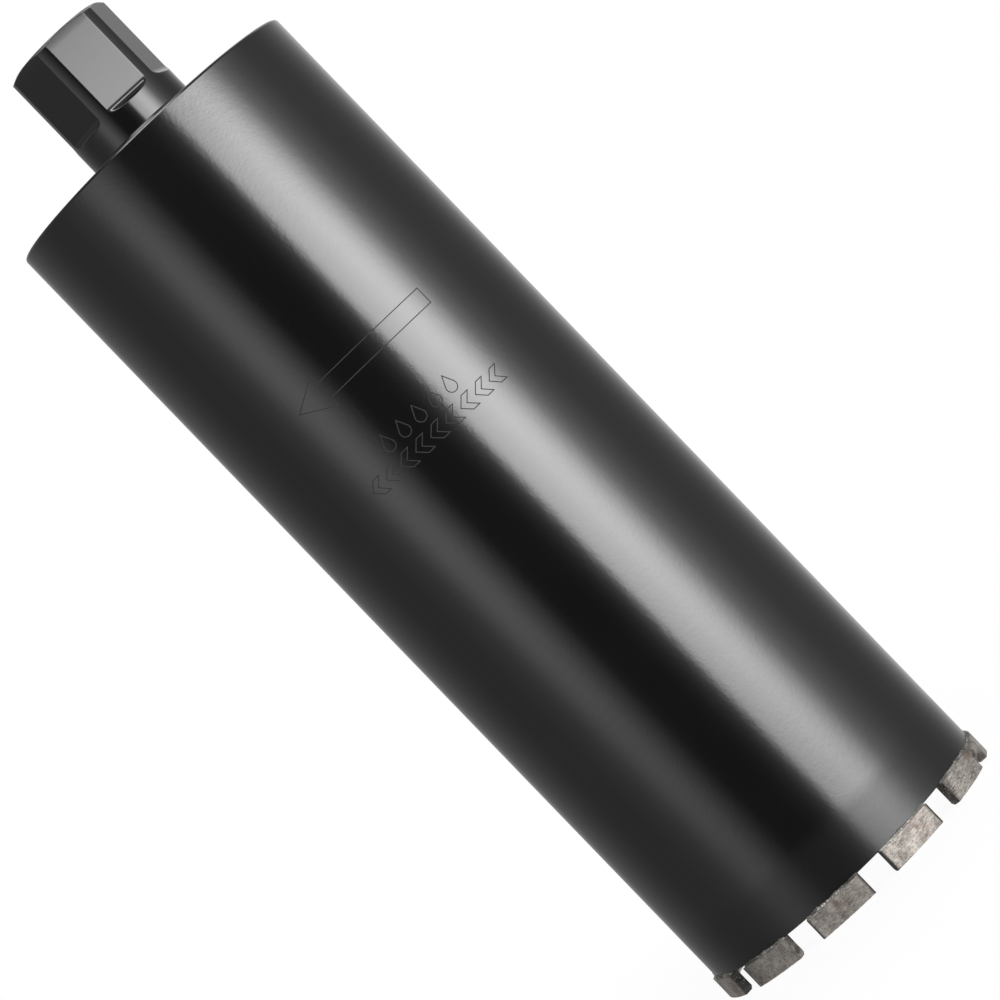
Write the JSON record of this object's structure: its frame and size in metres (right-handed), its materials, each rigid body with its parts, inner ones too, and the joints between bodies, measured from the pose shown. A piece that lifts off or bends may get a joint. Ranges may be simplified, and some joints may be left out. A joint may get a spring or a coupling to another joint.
{
  "type": "core drill bit",
  "caption": "Long steel barrel, open at one end, with brazed diamond segments around its rim and a hexagonal hub with a female thread on its closed end, for wet core drilling.",
  "frame": {"origin": "centre of the barrel, on the plane of the segments' cutting faces", "axes": "+Z along the barrel, from the cutting end to the drive hub; -Y is the front, as in the picture"},
  "size_m": [0.127, 0.127, 0.4126],
  "materials": {
    "barrel_paint": "semi-gloss black paint",
    "hub_paint": "gloss black paint with a bare machined end face",
    "weld_steel": "weld bead under black paint",
    "diamond_matrix": "bare sintered metal with diamond grit, ground around the outside",
    "silver_braze": "bare silver braze"
  },
  "bodies": {
    "root": {"barrel_tube": "barrel_paint", "end_plate": "barrel_paint", "seam_weld": "barrel_paint", "drive_hub": "hub_paint", "hub_weld": "weld_steel", "segment_01": "diamond_matrix", "segment_02": "diamond_matrix", "segment_03": "diamond_matrix", "segment_04": "diamond_matrix", "segment_05": "diamond_matrix", "segment_06": "diamond_matrix", "segment_07": "diamond_matrix", "segment_08": "diamond_matrix", "segment_09": "diamond_matrix", "segment_10": "diamond_matrix", "segment_11": "diamond_matrix", "braze_01": "silver_braze", "braze_02": "silver_braze", "braze_03": "silver_braze", "braze_04": "silver_braze", "braze_05": "silver_braze", "braze_06": "silver_braze", "braze_07": "silver_braze", "braze_08": "silver_braze", "braze_09": "silver_braze", "braze_10": "silver_braze", "braze_11": "silver_braze"}
  },
  "joints": []
}
